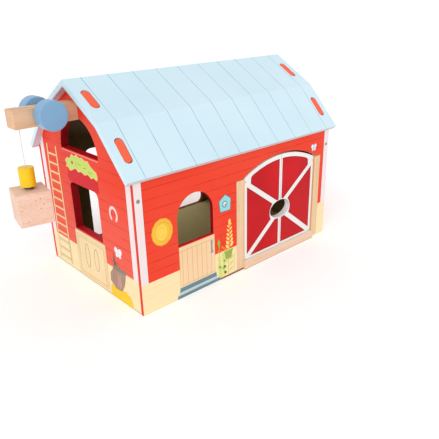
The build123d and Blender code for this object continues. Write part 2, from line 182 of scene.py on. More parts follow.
wood = {"long": 26.0, "fine": 900.0, "broad": 160.0, "streak": "c98f66"}


def woodTone(made, grain, light, dark, seed=(0, 0, 0)):
    fine = [wood["fine"]] * 3
    broad = [wood["broad"]] * 3
    fine[grain] = wood["long"]
    broad[grain] = wood["long"] * 0.4
    streak = made.noise(fine, 3, 0.6, seed)
    bands = made.noise(broad, 2, 0.5, seed)
    tone = made.mix(made.ramp(bands, 0.3, 0.75) * 0.55, light, dark)
    return made.mix(made.ramp(streak, 0.52, 0.74) * 0.45, tone, wood["streak"]), streak


def bareWood(name, grain, light="efc9ab", dark="d9a680", seed=(0, 0, 0)):
    made = Finish(name, light, 0.55, 0.02)
    tone, streak = woodTone(made, grain, light, dark, seed)
    made.set("Base Color", tone)
    made.set("Roughness", made.ramp(streak, 0.3, 0.7, 0.48, 0.64))
    made.bump(streak, 0.18, 0.00015)
    return made


def belowRoof(reach, z, slope):
    # depth under the roof's upper surface, square to the slope
    return (slope["reach"] - reach) * sin(slope["pitch"]) - (z - slope["height"]) * cos(slope["pitch"])


# printed boards: planks outside, white corner strips, a pale plinth, dark red edges, bare board inside
board = {"plank": 12.5, "firstLine": 1.25, "lineWidth": 0.75, "skin": 0.1, "rim": 0.6, "tabDepth": 6.2,
         "red": "ee4128", "salmon": "f05843", "paintedReflection": "f07060", "line": "c2281a", "cream": "fae3b4",
         "creamGrain": "efc78c", "white": "f0e3e3", "rimRed": "a8261c", "edge": "a3101c", "edgeDark": "8c0c17",
         "ledge": "e0182a", "tab": "fb6a4c", "end": "e03a2c", "inside": "7c6640", "insideDark": "675433"}
doorway = {"middle": 66.2, "half": 74.0, "light": "ecc8a0", "dark": "d8a97c"}


def bareBoard(made):
    return made.mix(made.patches(400, 0.3, 0.7, 4, 0.7), board["inside"], board["insideDark"])


# ledges are the sills of the openings, whose upward faces get a brighter red as a painted highlight; as low, high,
# near and far
def printedBoard(name, along, side, stripFrom, plinthTop, raised=(), ledges=()):
    made = Finish(name, board["red"], 0.4, 0.02)
    axes = made.axes()
    u, z = axes[along], axes[2]
    depth = axes[1 - along] * side
    face = halfLength if along else halfDepth
    outer = depth > face - board["skin"]
    inner = depth < face - (barn["gable"] if along else barn["wall"]) + board["skin"]
    # planks
    wobble = made.noise((9, 9, 40), 2) * 0.5
    row = (z + wobble - board["firstLine"]).toNearest(board["plank"])
    line = made.ramp(row, board["lineWidth"] * 0.35, board["lineWidth"], 1.0, 0.0)
    fade = made.ramp(made.noise((30, 30, 60), 3), 0.38, 0.62, 0.15, 0.75)
    red = made.mix(made.patches(12, 0.4, 0.72) * 0.35, board["red"], board["salmon"])
    if along:
        # on the end walls the red is painted paler towards the foot, a painted reflection of the white surroundings
        red = made.mix(made.ramp(z, 150, 55, 0.0, 0.5), red, board["paintedReflection"])
    red = made.mix(line * fade, red, board["line"])
    # plinth of pale boards
    plinth = z < plinthTop
    for start, top in raised:
        plinth = plinth.highest((u > start) * (z < top))
    grain = made.ramp(made.noise((14, 14, 700), 3), 0.5, 0.75)
    tone = made.mix(plinth, red, made.mix(grain * 0.35, board["cream"], board["creamGrain"]))
    # corner strips
    size = abs(u)
    rim = (size > stripFrom - board["rim"]) * (1 - plinth)
    tone = made.mix(rim * 0.6, tone, board["rimRed"])
    tone = made.mix((size > stripFrom) * (1 - plinth), tone, board["white"])
    # cut edges
    edge = made.mix(made.patches(60, 0.3, 0.7), board["edge"], board["edgeDark"])
    # painted highlight: the sills that face up are brighter than the other cut edges
    for low, high, near, far in ledges:
        edge = made.mix((z > low) * (z < high) * (u > near) * (u < far), edge, board["ledge"])
    if along:
        # the tabs that come up through the roof
        tab = belowRoof(size, z, slopes["low"]).lowest(belowRoof(size, z, slopes["high"])) < board["tabDepth"]
        edge = made.mix(tab, edge, board["tab"])
    else:
        edge = made.mix(size > halfLength - board["skin"], edge, board["end"])
        if side < 0:
            door = abs(u - doorway["middle"]) < doorway["half"]
            edge = made.mix(door, edge, woodTone(made, 2, doorway["light"], doorway["dark"])[0])
    made.set("Base Color", made.mix(inner, made.mix(outer, edge, tone), bareBoard(made)))
    grit = made.grit()
    made.set("Roughness", made.sheen(grit, 0.36, 0.5) + inner * 0.3)
    made.bump(grit - line * outer * 0.8, 0.1, 0.0002)
    return made


# the roof's cut edges take a light grey as painted shade, for the eave that faces down out of the light
roof = {"blue": "d8eff9", "deep": "cbe6f2", "shine": "e6f4fa", "seam": "84c4d0", "edge": "cdcbcf", "under": "d9ccd6",
        "pitch": 34.3, "firstSeam": -0.25, "reach": 177.1, "skin": 0.15, "vergeFoot": 5.7, "thick": 6.35}


def roofPaint(name, side, slope):
    made = Finish(name, roof["blue"], 0.4, 0.02)
    x, y, z = made.axes()
    below = belowRoof(y * side, z, slope)
    verge = (abs(x) > roof["reach"]) * (below < roof["vergeFoot"])
    top = (below < roof["skin"]).highest(verge)
    wobble = made.noise((3, 18, 18), 2) * 0.5
    row = (x + wobble + (roof["firstSeam"] + roof["pitch"] * 5.5)).toNearest(roof["pitch"])
    seam = made.ramp(row, 0.35, 0.65, 1.0, 0.0)
    fade = made.ramp(made.noise((30, 40, 40), 3), 0.35, 0.6, 0.65, 1.0)
    tone = made.ramp(made.noise((9, 12, 12), 4), 0.35, 0.7)
    blue = made.mix(tone * 0.6, roof["blue"], roof["deep"])
    blue = made.mix(made.ramp(row, 0.7, 1.4, 0.3, 0.0), blue, roof["shine"])
    blue = made.mix(seam * fade, blue, roof["seam"])
    # the underside is pale grey paint whose lilac tint is a painted reflection of the red walls; between the gables
    # it takes the darker bare-board colour, which also stands in for the shade inside the barn
    under = made.mix(abs(x) < halfLength - barn["gable"], roof["under"], bareBoard(made))
    # cut edges get the grey edge colour, painted shade
    made.set("Base Color", made.mix(below > roof["thick"], made.mix(top, roof["edge"], blue), under))
    grit = made.grit()
    made.set("Roughness", made.sheen(grit, 0.36, 0.5))
    made.bump(grit - seam * top, 0.12, 0.0002)
    return made


floor = {"colour": "d2c083", "light": "dccb8e", "dark": "c6b478"}


def floorBoard():
    made = Finish("floorBoard", floor["colour"], 0.75)
    fibre = made.noise((350, 350, 350), 5, 0.7)
    made.set("Base Color", made.mix(made.ramp(fibre, 0.35, 0.7), floor["light"], floor["dark"]))
    made.bump(fibre, 0.15, 0.0002)
    return made


# white paint, with the leaves' rounded hinge edges left bare
leafPaint = {"white": "f5f0ee", "shade": "ece6e4", "middle": 65.7, "reach": 69.0}


def leafBoard():
    made = Finish("doorBoard", leafPaint["white"], 0.42, 0.02)
    outward = abs(made.axes()[0] - leafPaint["middle"])
    white = made.mix(made.patches(14, 0.35, 0.7, 4), leafPaint["white"], leafPaint["shade"])
    bare = woodTone(made, 2, doorway["light"], doorway["dark"])[0]
    made.set("Base Color", made.mix(outward > leafPaint["reach"], white, bare))
    made.bump(made.grit(), 0.08, 0.0001)
    return made


# the sill's top is painted paler as a highlight, and its foot darker as a painted contact shadow
sill = {"colour": "f1d0b4", "light": "f1d0b6", "dark": "e0b596", "footShadow": "b79b8b", "lit": "f2e8d2", "top": 11.2}


def sillBoard():
    made = Finish("sillWood", sill["colour"], 0.55, 0.02)
    tone, streak = woodTone(made, 0, sill["light"], sill["dark"], (3, 1, 2))
    height = made.axes()[2]
    # painted contact shadow: darker towards the ground
    tone = made.mix(made.ramp(height, 0.8, 2.2, 0.55, 0.0), tone, sill["footShadow"])
    # painted highlight on the top face
    made.set("Base Color", made.mix(height > sill["top"], tone, sill["lit"]))
    made.bump(streak, 0.18, 0.00015)
    return made


def steel(name, colour="a9abb0", roughness=0.32, metal=1.0):
    made = Finish(name, colour, roughness)
    made.shader.inputs["Metallic"].default_value = metal
    wear = made.noise((1500, 1500, 1500), 3)
    made.set("Roughness", made.ramp(wear, 0.3, 0.7, roughness - 0.08, roughness + 0.16))
    made.set("Base Color", made.mix(made.ramp(wear, 0.4, 0.7) * 0.5, colour, "7c7d82"))
    return made


strips = {"wall": 158.1, "gable": 94.0}
plinths = {"wall": 39.5, "byDoor": [(135, 51.0)], "gable": 42.0}
windowLedge = (69, 69.5, -113.3, -58.7)
stableLedge = (67.3, 67.8, -32.8, 32.8)
loftLedge = (171.7, 172.2, -42.9, 42.9)
leafFinish = leafBoard()
crimson = paint("doorCrimson", "d1131d", "ac0b14", 0.38)
bluePaint = paint("drumBlue", "83afd3", "76a4ca", 0.36, 0.3)
yellowPaint = paint("weightYellow", "fbd112", "f2bf0a", 0.3, 0.4)
zinc = steel("zincSteel")
postWood = bareWood("postWood", 2, "f0cfa8", "deb084")
wear = {
    "front_wall": printedBoard("frontBoard", 0, -1, strips["wall"], plinths["wall"], plinths["byDoor"],
                               [windowLedge]),
    "back_wall": printedBoard("backBoard", 0, 1, strips["wall"], plinths["wall"]),
    "gable_wall_left": printedBoard("leftGableBoard", 1, -1, strips["gable"], plinths["gable"], (),
                                    [stableLedge, loftLedge]),
    "gable_wall_right": printedBoard("rightGableBoard", 1, 1, strips["gable"], plinths["gable"], (),
                                     [stableLedge]),
    "floor_panel": floorBoard(),
    "roof_lower_front": roofPaint("roofLowFront", -1, slopes["low"]),
    "roof_upper_front": roofPaint("roofHighFront", -1, slopes["high"]),
    "roof_lower_back": roofPaint("roofLowBack", 1, slopes["low"]),
    "roof_upper_back": roofPaint("roofHighBack", 1, slopes["high"]),
    "door_leaf_left": leafFinish, "door_leaf_right": leafFinish, "door_sill": sillBoard(),
    "crane_beam": bareWood("beamWood", 0, "e9c2a0", "d5a47c", (5, 2, 1)), "winch_axle": bareWood("axleWood", 1),
    "winch_drum_front": bluePaint, "winch_drum_back": bluePaint, "hoist_weight": yellowPaint,
    "weight_magnet": steel("darkMagnet", "3a3a3d", 0.4, 0.6), "magnet_screw": zinc,
    "crate": bareWood("crateWood", 0, "f3d3bf", "e6bca0", (7, 4, 2)), "crate_screw": zinc,
    "wall_screws": zinc, "beam_screws": zinc, "hinge_pins": zinc,
}
print("finishes made")
for name, finish in wear.items():
    mesh = nodes[name].data
    mesh.materials.clear()
    mesh.materials.append(finish.mat)

# string: off the winding, over the beam, down its hole and straight to the weight
string = {"width": 1.0, "strand": 0.44, "drop": -232.5,
          "axle": (-203.4, 224.4), "winding": 4.5955, "turns": 3, "steps": 12, "start": 71, "first": -1.0,
          "pitch": 2 / 3}
route = [(-201.594, 229.70), (-212.9, 233.55), (-226.5, 233.55), (string["drop"], 233.55),
         (string["drop"], 227.5), (string["drop"], 171.1), (string["drop"], 165.1)]


def stringFinish():
    made = Finish("twistedString", "d9d8d4", 0.8)
    x, y, z = made.axes()
    strand = ((x + y * 2 + z) * 5.0).sine()
    made.set("Base Color", made.mix(made.ramp(strand, -0.6, 0.6), "dedcd9", "f6f5f3"))
    made.bump(strand, 0.4, 0.0001)
    return made


# a smooth curve near points in millimetres
def softLine(name, points, radius):
    curve = bpy.data.curves.new(name, "CURVE")
    curve.dimensions = "3D"
    curve.resolution_u = 10
    curve.bevel_depth = radius / 1000
    curve.bevel_resolution = 3
    curve.use_fill_caps = True
    spline = curve.splines.new("NURBS")
    spline.points.add(len(points) - 1)
    for point, place in zip(spline.points, points):
        point.co = (*(c / 1000 for c in place), 1)
    spline.order_u = 3
    spline.use_endpoint_u = True
    return addObject(name, curve)


def asMesh(curve, name):
    bpy.context.view_layer.update()
    mesh = bpy.data.meshes.new_from_object(curve.evaluated_get(bpy.context.evaluated_depsgraph_get()))
    return addObject(name, mesh)


twine = stringFinish()
line = softLine("stringLine", [(x, 0, z) for x, z in route], 0)
bare = asMesh(line, "stringPath")
stringPath = [tuple(v.co) for v in bare.data.vertices]
bpy.data.objects.remove(bare)
line.data.bevel_depth = string["width"] / 2000
hoistString = asMesh(line, "hoistString")
bpy.data.objects.remove(line)
hoistString.data.materials.clear()
hoistString.data.materials.append(twine.mat)
for face in hoistString.data.polygons:
    face.use_smooth = True

# the end that is wound on the axle
turnPoints = []
for i in range(string["turns"] * string["steps"] + 1):
    angle = radians(string["start"] - 360 / string["steps"] * i)
    turnPoints.append((string["axle"][0] + string["winding"] * cos(angle),
                       string["first"] + string["pitch"] * i / string["steps"],
                       string["axle"][1] + string["winding"] * sin(angle)))
winding = softLine("stringWinding", turnPoints, string["strand"])
winding.data.materials.append(twine.mat)
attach(winding, "winch")
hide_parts("string_coil")
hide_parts("string_run", "string_drop")
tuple(stringPath[0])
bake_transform(hoistString)
print("string made")

# what is printed on the boards, as thin raised shapes: each ink has a light and a darker tone
inks = {"beige": ("fcd69c", "f5c988"), "brown": ("bf8750", "ac7641"), "leafGreen": ("d0e874", "c4dc66"),
        "deepRed": ("dc1c28", "d01722"), "palePink": ("f9b9b0", "f4a79d"), "shoeWhite": ("f6dedd", "efcfd0"),
        "cream": ("f5dfb4", "eed09c"), "creamLine": ("c09a62", "b08a52"), "darkLine": ("86704a", "75613e"),
        "broomGrey": ("8c8674", "787262"), "broomHandle": ("6e6c56", "5f5d4a"), "bristle": ("b5917f", "a17d6b"),
        "bristleDark": ("97796a", "86695b"), "bristleLight": ("d3abab", "c79d9d"),
        "hay": ("fdd32c", "f7c41c"), "hayOrange": ("eea63a", "e2962a"), "straw": ("f7c247", "f2b637"),
        "strawLight": ("f9d45c", "f5c94a"), "strawDark": ("e8a834", "dc9a28"), "doorBeige": ("f7d7ae", "efc898"),
        "doorLine": ("d9a871", "cc985f"), "stepGrey": ("6f8a93", "637d86"), "stepLight": ("c3d2d7", "b4c5cb"),
        "houseBlue": ("9bdce0", "8bd0d8"), "ringDark": ("4c7a86", "40707c"), "grain": ("ffdc86", "fbd074"),
        "potGreen": ("a2b054", "929f45"), "bush": ("d4df78", "c2d162"), "leaf": ("94c24a", "82b23c"),
        "petal": ("f2903c", "e57e2a"), "wingWhite": ("eef4f8", "dfe9f0"), "wingBlue": ("9dc4dd", "8ab5d1"),
        "strapBlue": ("8fa6b5", "7d95a5"), "panelLine": ("7c0a13", "6c0710"), "nail": ("a8795a", "95684a"),
        "crateLine": ("d7a47f", "c8926c"), "footBrown": ("8c5a46", "7d4c3a"), "postLine": ("c9845c", "b9744d")}
inkFinishes = {"crimson": crimson.mat, "zinc": zinc.mat, "postWood": postWood.mat}


def ink(name):
    if name not in inkFinishes:
        inkFinishes[name] = paint(name + "Ink", *inks[name]).mat
    return inkFinishes[name]


def faceFrame(origin, along, out):
    # columns: along the face, up, out of the face, from millimetres to metres
    return Matrix(((along[0], 0, out[0], origin[0]), (along[1], 0, out[1], origin[1]),
                   (0, 1, 0, origin[2]), (0, 0, 0, 1000))) * 0.001


leafBack = 0.5
faces = {"front": faceFrame((-halfLength, -halfDepth, 0), (1, 0), (0, -1)),
         "leftGable": faceFrame((-halfLength, -halfDepth, 0), (0, 1), (-1, 0)),
         "rightGable": faceFrame((halfLength, -halfDepth, 0), (0, 1), (1, 0)),
         "leaf": faceFrame((-halfLength, leafBack - halfDepth, 0), (1, 0), (0, -1))}
relief = {"ink": 0.06, "level": 0.05}


# flat shapes in millimetres along and up a face, each lifted to its level, with a rim of another ink
class Print:
    def __init__(self, name, body, face, slot="siding_paint"):
        self.name, self.body, self.face, self.slot = name, body, face, slot
        self.bm = bmesh.new()
        self.used = []

    def index(self, name):
        if name not in self.used:
            self.used.append(name)
        return self.used.index(name)

    def lift(self, flat, name, level, rim, rimWidth):
        old = set(self.bm.faces) - set(flat)
        made = bmesh.ops.extrude_face_region(self.bm, geom=flat)["geom"]
        bmesh.ops.translate(self.bm, vec=(0, 0, relief["ink"] + relief["level"] * level),
                            verts=[g for g in made if isinstance(g, bmesh.types.BMVert)])
        tops = [g for g in made if isinstance(g, bmesh.types.BMFace)]
        for face in set(self.bm.faces) - old:
            face.material_index = self.index(rim or name)
        if rim:
            bmesh.ops.inset_region(self.bm, faces=tops, thickness=rimWidth, use_boundary=True,
                                   use_even_offset=True)
            for face in tops:
                face.material_index = self.index(name)

    def shape(self, points, name, level=1, rim=None, rimWidth=0.5):
        corners = [self.bm.verts.new((u, v, 0)) for u, v in points]
        self.lift([self.bm.faces.new(corners)], name, level, rim, rimWidth)

    def sheet(self, left, low, right, high, name, level=1, rim=None, rimWidth=0.5):
        self.shape([(left, low), (right, low), (right, high), (left, high)], name, level, rim, rimWidth)

    def disc(self, centre, size, name, level=1, rim=None, rimWidth=0.5, turn=0.0, ripple=0.0, steps=24):
        spot = Matrix.Translation((*centre, 0)) @ Matrix.Rotation(radians(turn), 4, "Z")
        made = bmesh.ops.create_circle(self.bm, cap_ends=True, segments=steps, radius=1.0)["verts"]
        for i, corner in enumerate(made):
            corner.co *= 1 + ripple * sin(i * 2.3)
        bmesh.ops.transform(self.bm, matrix=spot @ Matrix.Diagonal((*size, 1, 1)), verts=made)
        self.lift(list({face for corner in made for face in corner.link_faces}), name, level, rim, rimWidth)

    def bar(self, start, end, width, name, level=1, rim=None, rimWidth=0.35):
        a, b = Vector((*start, 0)), Vector((*end, 0))
        turn = (b - a).to_2d().angle_signed(Vector((1, 0)))
        spot = Matrix.Translation((a + b) / 2) @ Matrix.Rotation(turn, 4, "Z")
        size = Matrix.Diagonal(((b - a).length / 2, width / 2, 1, 1))
        made = bmesh.ops.create_grid(self.bm, x_segments=1, y_segments=1, size=1.0, matrix=spot @ size)["verts"]
        self.lift(list(made[0].link_faces), name, level, rim, rimWidth)

    def outline(self, left, low, right, high, width, name, level):
        corners = [(left, low), (right, low), (right, high), (left, high)]
        for a, b in zip(corners, corners[1:] + corners[:1]):
            self.bar(a, b, width, name, level)

    def arc(self, centre, inner, outer, start, sweep, name, level=1, rim=None, rimWidth=0.4):
        # a flat hoop: one edge spun about the centre, then set to its height and width
        direction = Vector((cos(radians(start)), sin(radians(start)), 0))
        edge = self.bm.edges.new([self.bm.verts.new(direction * r) for r in (inner / outer[0], 1.0)])
        old = set(self.bm.faces)
        bmesh.ops.spin(self.bm, geom=[edge, *edge.verts], cent=(0, 0, 0), axis=(0, 0, 1),
                       angle=radians(sweep), steps=22, use_merge=False)
        flat = list(set(self.bm.faces) - old)
        corners = list({corner for face in flat for corner in face.verts})
        place = Matrix.Translation((*centre, 0)) @ Matrix.Diagonal((*outer, 1, 1))
        bmesh.ops.transform(self.bm, matrix=place, verts=corners)
        self.lift(flat, name, level, rim, rimWidth)

    def finish(self):
        bmesh.ops.transform(self.bm, matrix=self.face, verts=self.bm.verts)
        bmesh.ops.recalc_face_normals(self.bm, faces=self.bm.faces)
        mesh = bpy.data.meshes.new(self.name)
        self.bm.to_mesh(mesh)
        self.bm.free()
        for name in self.used:
            mesh.materials.append(ink(name))
        made = addObject(self.name, mesh)
        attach(made, self.body)


# the end wall: ladder, leafy sign, horseshoe, butterfly, half door, broom and hay
ladder = {"right": 169.0, "left": 193.0, "foot": 199.0, "top": 170.0, "plinth": 42.0, "ground": 4.0,
          "first": 157.5, "pitch": 12.3, "drawn": 10, "outlined": 13, "rung": 2.8, "rail": 3.2, "edge": 1.2}


def railAt(z):
    spread = (ladder["foot"] - ladder["left"]) / (ladder["top"] - ladder["plinth"])
    return ladder["left"] + spread * (ladder["top"] - z)


made = Print("gableLadder", "barn", faces["leftGable"])
for i in range(ladder["drawn"]):
    z = ladder["first"] - ladder["pitch"] * i
    made.bar((ladder["right"], z), (railAt(z), z), ladder["rung"], "beige", 1, "brown", 0.25)
for top, foot in (("right", "right"), ("left", "foot")):
    made.bar((ladder[top], ladder["top"]), (ladder[foot], ladder["plinth"]), ladder["rail"], "beige", 2,
             "brown", 0.28)
# over the plinth the ladder is drawn in outline
for edge in (-ladder["edge"], ladder["edge"]):
    right, foot = ladder["right"] + edge, ladder["foot"] + edge
    made.bar((right, ladder["plinth"]), (right, ladder["ground"]), 0.55, "darkLine")
    made.bar((foot, ladder["plinth"]), (railAt(ladder["ground"]) + edge, ladder["ground"]), 0.45, "creamLine")
    for i in range(ladder["drawn"], ladder["outlined"]):
        z = ladder["first"] - ladder["pitch"] * i + edge
        made.bar((ladder["right"] + ladder["edge"], z), (railAt(z) - ladder["edge"], z), 0.6,
                 "darkLine" if edge > 0 else "creamLine")
made.finish()

sign = {"band": [(71.5, 131), (142, 131.5), (145, 138), (140, 150), (72, 150)],
        "leaves": [(147, 157), (140, 162), (135, 161), (128, 168), (122, 166), (117, 169.5), (110, 166.5),
                   (104, 168), (97, 165.5), (91, 166.5), (85, 161.5), (79, 158.5), (73, 156.5), (71, 150),
                   (74, 146), (81, 148.5), (86, 145.8), (93, 149.5), (101, 147), (109, 149.5), (116, 147.5),
                   (122, 151), (130, 147.5), (137, 145), (141, 149), (147, 149), (143.5, 153)],
        "veins": [(112, 158, 15), (99, 156, -10), (87, 153, 12), (120, 156, 60)],
        "knot": (129, 157), "lineLeft": 66.5, "lineRight": 151.5, "lineUp": 170.2}
made = Print("gableSign", "barn", faces["leftGable"])
made.shape(sign["band"], "deepRed", 0)
made.shape(sign["leaves"], "leafGreen", 2, "beige", 0.9)
made.disc(sign["knot"], (1.7, 2.2), "panelLine", 3)
for u, v, turn in sign["veins"]:
    made.disc((u, v), (4.6, 0.45), "potGreen", 3, turn=turn)
made.bar((sign["lineLeft"], sign["lineUp"]), (sign["lineRight"], sign["lineUp"]), 0.9, "palePink", 1)
made.finish()

shoe = {"place": (45, 113.8), "inner": 5.6, "outer": (9.0, 10.2), "from": -58, "sweep": 296,
        "holes": (7.3, 8.3), "hole": (0.5, 0.6), "angles": range(-30, 211, 48)}


def horseshoe(name, face):
    made = Print(name, "barn", face)
    u, v = shoe["place"]
    made.arc((u, v), shoe["inner"], shoe["outer"], shoe["from"], shoe["sweep"], "shoeWhite", 1, "palePink", 0.45)
    for angle in shoe["angles"]:
        spot = (u + shoe["holes"][0] * cos(radians(angle)), v + shoe["holes"][1] * sin(radians(angle)))
        made.disc(spot, shoe["hole"], "palePink", 2, steps=10)
    made.finish()


def butterfly(name, face, centre, size, vein="shoeWhite"):
    made = Print(name, "barn", face)
    # upper and lower wings: out, up, half width, half height, turn
    wings = [(0.31, 0.16, 0.3, 0.36, -24), (0.24, -0.28, 0.21, 0.24, 20)]
    for side in (-1, 1):
        for level, (out, up, wide, high, turn) in enumerate(wings, 1):
            made.disc((centre[0] + side * out * size, centre[1] + up * size), (wide * size, high * size),
                      "wingWhite", level, vein, 0.35, turn=side * turn)
    made.disc(centre, (0.06 * size, 0.38 * size), vein, 3, steps=12)
    made.finish()


stable = {"foot": 0.6, "top": 66, "inner": (6, 7, 58), "outer": (3.6, 4.4, 61), "oval": 5.4,
          "ovals": [(-11.5, 36, 15.5), (10.5, 35, 17)]}


def gableDoor(name, face, left, right):
    made = Print(name, "barn", face)
    made.sheet(left, stable["foot"], right, stable["top"], "cream", 1, "creamLine", 0.5)
    for (inset, low, high), width in ((stable["inner"], 0.5), (stable["outer"], 0.35)):
        made.outline(left + inset, low, right - inset, high, width, "creamLine", 2)
    for out, up, high in stable["ovals"]:
        made.disc(((left + right) / 2 + out, up), (stable["oval"], high), "cream", 2, "darkLine", 0.7)
    made.finish()


broom = {"head": [(54, 47), (58, 41), (66, 32), (67, 21), (56, 13.5), (43, 14.5), (36, 25), (30, 46),
                  (42, 44.5), (51, 49)],
         "band": [(56, 44.5), (60, 40), (31.5, 40.5), (30, 46), (42, 44.8), (51, 49.5)],
         "handle": [(54.4, 62), (56.2, 52), (56, 44.5), (49, 47.5), (52.2, 52)],
         "dark": [((57, 38), (61, 22)), ((53, 38.5), (54, 18)), ((40, 38), (40, 24)), ((36, 37), (37, 27))],
         "light": [((49.5, 36), (49.5, 19)), ((46.5, 34), (46, 17)), ((43.5, 36), (43.5, 20))]}
hay = {"heap": [(68, 0.6), (68.5, 12), (64, 17), (60, 14.5), (55, 18.5), (50, 16), (45, 19), (40, 16),
                (34, 17.5), (29, 14), (26, 15), (22, 8), (21, 0.6)], "stalks": range(26, 66, 6)}


def broomAndHay(name, face):
    made = Print(name, "barn", face)
    made.shape(hay["heap"], "hay", 1, "hayOrange", 0.7)
    for u in hay["stalks"]:
        made.bar((u, 2), (u + 2.5, 13), 0.5, "hayOrange", 2)
    made.shape(broom["head"], "bristle", 3, "broomGrey", 0.6)
    made.shape(broom["band"], "broomGrey", 4)
    made.shape(broom["handle"], "broomHandle", 5)
    for start, end in broom["dark"]:
        made.bar(start, end, 0.7, "bristleDark", 4)
    for start, end in broom["light"]:
        made.bar(start, end, 1.0, "bristleLight", 4)
    made.finish()


footShadowLine = {"up": 0.55, "width": 0.7, "inset": 5.5}
horseshoe("gableHorseshoe", faces["leftGable"])
# a thin dark line along the foot of each end wall, painted shade where the wall meets the ground
for name in ("leftGable", "rightGable"):
    made = Print(name + "Foot", "barn", faces[name])
    made.bar((footShadowLine["inset"], footShadowLine["up"]), (barn["depth"] - footShadowLine["inset"], footShadowLine["up"]),
             footShadowLine["width"], "darkLine", 0)
    made.finish()
butterfly("gableButterfly", faces["leftGable"], (43.5, 66.0), 12.5)
gableDoor("gableHalfDoor", faces["leftGable"], 72, 146)
broomAndHay("gableBroom", faces["leftGable"])
horseshoe("rightHorseshoe", faces["rightGable"])
gableDoor("rightHalfDoor", faces["rightGable"], 76, 142)
print("end walls printed")

# the long wall: half door with its steps, straw coil, birdhouse, wheat and plants
halfDoor = {"left": 55.0, "right": 111.3, "foot": 0.6, "top": 68.6, "low": 17, "high": 62.8, "lineTop": 62.5,
            "lines": [59.6, 67.2, 74.8, 82.4, 90.0, 97.6, 105.0],
            "upperStep": [(53, 8.4), (114, 8.4), (113, 14.8), (54, 14.8)], "tread": (52.5, 5, 114.5, 8.4),
            "lowerStep": [(49, 0.3), (120, 0.3), (119, 5.2), (50, 5.2)],
            "strap": [(104.6, 61.4), (107.9, 61.4), (107.2, 55), (107.4, 50), (108.5, 44.4), (104.4, 44.4),
                      (105.4, 50), (105.1, 55)]}
made = Print("frontHalfDoor", "barn", faces["front"])
made.sheet(halfDoor["left"], halfDoor["foot"], halfDoor["right"], halfDoor["top"], "doorBeige", 1, "doorLine", 0.45)
for u in halfDoor["lines"]:
    made.bar((u, halfDoor["low"]), (u, halfDoor["lineTop"]), 0.5, "doorLine", 2)
for z in (halfDoor["low"], halfDoor["high"]):
    made.bar((halfDoor["left"] + 2, z), (halfDoor["right"] - 2, z), 0.5, "doorLine", 2)
made.shape(halfDoor["upperStep"], "stepGrey", 3, "stepLight", 0.4)
made.sheet(*halfDoor["tread"], "stepLight", 2)
made.shape(halfDoor["lowerStep"], "stepGrey", 3, "stepLight", 0.4)
made.shape(halfDoor["strap"], "strapBlue", 3, "stepGrey", 0.35)
made.finish()

# straw coil, from the outside in: centre, half sizes, ink, rim, rim width and ripple
coil = {"rings": [((33.2, 96), (14.8, 16.6), "straw", "hayOrange", 0.9, 0.018),
                  ((34.2, 96), (10.6, 12.2), "straw", "strawDark", 0.7, 0.01),
                  ((32.2, 96), (8.4, 10.6), "strawLight", "straw", 0.7, 0.0)],
        "loop": (32.2, 96), "loopInner": 4.2, "loopOuter": (4.9, 6.4)}
made = Print("frontStrawCoil", "barn", faces["front"])
for level, (centre, size, name, rim, width, ripple) in enumerate(coil["rings"], 1):
    made.disc(centre, size, name, level, rim, width, ripple=ripple, steps=36)
made.arc(coil["loop"], coil["loopInner"], coil["loopOuter"], 20, 300, "straw", 4)
made.finish()

birdhouse = {"outline": [(121.3, 93.4), (138.6, 92.8), (139.8, 108.4), (130, 115.6), (119.4, 108.4)],
             "hole": (129.3, 102.8), "ring": (4.1, 4.4), "opening": (2.3, 2.6),
             "bird": (129.9, 101.9), "birdSize": (1.2, 1.2)}
made = Print("frontBirdhouse", "barn", faces["front"])
made.shape(birdhouse["outline"], "houseBlue", 1, "ringDark", 0.7)
made.disc(birdhouse["hole"], birdhouse["ring"], "houseBlue", 2, "ringDark", 0.9)
made.disc(birdhouse["hole"], birdhouse["opening"], "wingWhite", 3)
made.disc(birdhouse["bird"], birdhouse["birdSize"], "crimson", 4, steps=14)
made.finish()

wheat = {"foot": 43.6, "stem": 136.6, "stemFoot": (135.4, 28), "stemTop": 72.6,
         "top": (137.0, 76.6), "topGrain": (2.1, 4.4), "pairs": 6, "pitch": 5.6, "out": 3.9, "grain": (2.15, 3.9),
         "stagger": 1.6, "thin": 0.09, "pot": [(127.6, 38.2), (141.8, 38.2), (139.6, 26), (129.4, 26)],
         "potRim": ((127, 37.2), (142.4, 37.2)), "stake": ((134.5, 26), (134.5, 3)),
         "stalk": ((144.5, 30), (144.5, 3))}
made = Print("frontWheat", "barn", faces["front"])
made.bar(wheat["stemFoot"], (wheat["stem"], wheat["stemTop"]), 0.6, "grain", 1)
made.disc(wheat["top"], wheat["topGrain"], "grain", 2, "straw", 0.3, steps=14)
for i in range(wheat["pairs"]):
    z = wheat["foot"] + i * wheat["pitch"]
    lean = 1 - wheat["thin"] * i
    for side in (-1, 1):
        made.disc((wheat["stem"] + side * wheat["out"] * lean, z + (wheat["stagger"] if side > 0 else 0)),
                  (wheat["grain"][0] * lean, wheat["grain"][1] * lean), "grain", 2, "straw", 0.3,
                  turn=-side * 38, steps=14)
made.shape(wheat["pot"], "potGreen", 3, "leaf", 0.5)
made.bar(*wheat["potRim"], 2.2, "leaf", 4)
made.bar(*wheat["stake"], 0.5, "brown", 1)
made.bar(*wheat["stalk"], 0.4, "creamLine", 1)
made.finish()

